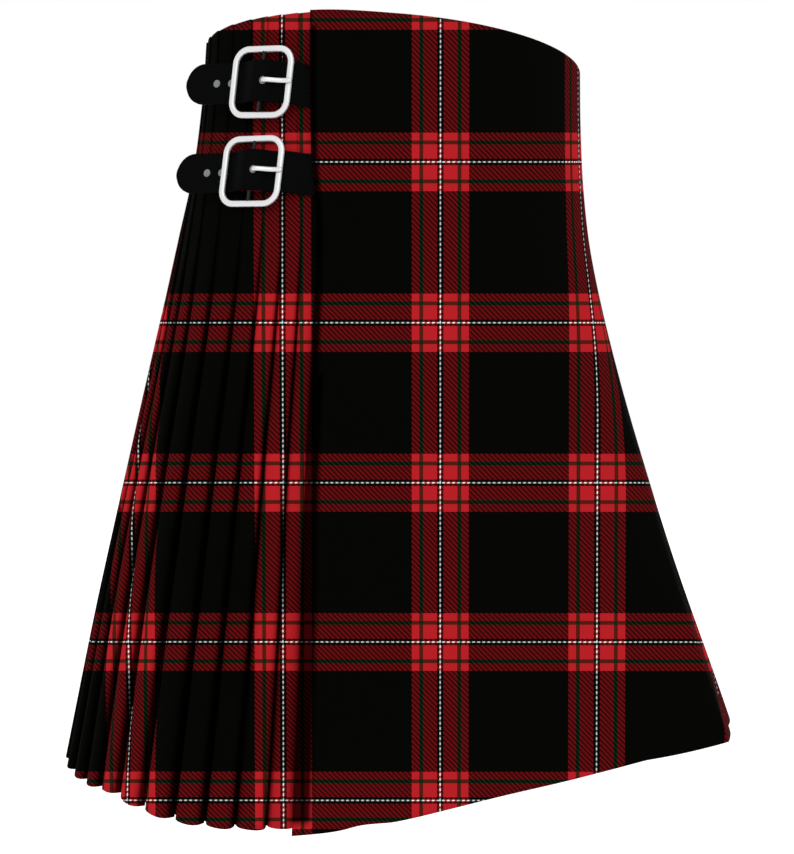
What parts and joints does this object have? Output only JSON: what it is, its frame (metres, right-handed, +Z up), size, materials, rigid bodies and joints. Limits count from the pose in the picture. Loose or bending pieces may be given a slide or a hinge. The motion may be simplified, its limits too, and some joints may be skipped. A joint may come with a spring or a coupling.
{
  "type": "scottish kilt",
  "caption": "Knife-pleated tartan wrap skirt with a flat front apron, fastened at the hip by two leather straps and buckles.",
  "frame": {"origin": "axis of the waist at the height of the upper strap, where the wearer's waist holds the kilt", "axes": "+Z up, -Y towards the wearer's front, -X towards the wearer's right"},
  "size_m": [0.6094, 0.4196, 0.61],
  "materials": {
    "tartan_cloth": "worsted wool twill in a black and red tartan with fine green and white lines",
    "strap_leather": "smooth black strap leather, lightly grained, cut edges",
    "buckle_metal": "bright nickel plate, polished"
  },
  "bodies": {
    "root": {"outer_apron": "tartan_cloth", "inner_apron": "tartan_cloth", "pleated_back": "tartan_cloth", "upper_strap": "strap_leather", "upper_buckle": "buckle_metal", "upper_prong": "buckle_metal", "upper_chape": "strap_leather", "lower_strap": "strap_leather", "lower_buckle": "buckle_metal", "lower_prong": "buckle_metal", "lower_chape": "strap_leather"}
  },
  "joints": []
}
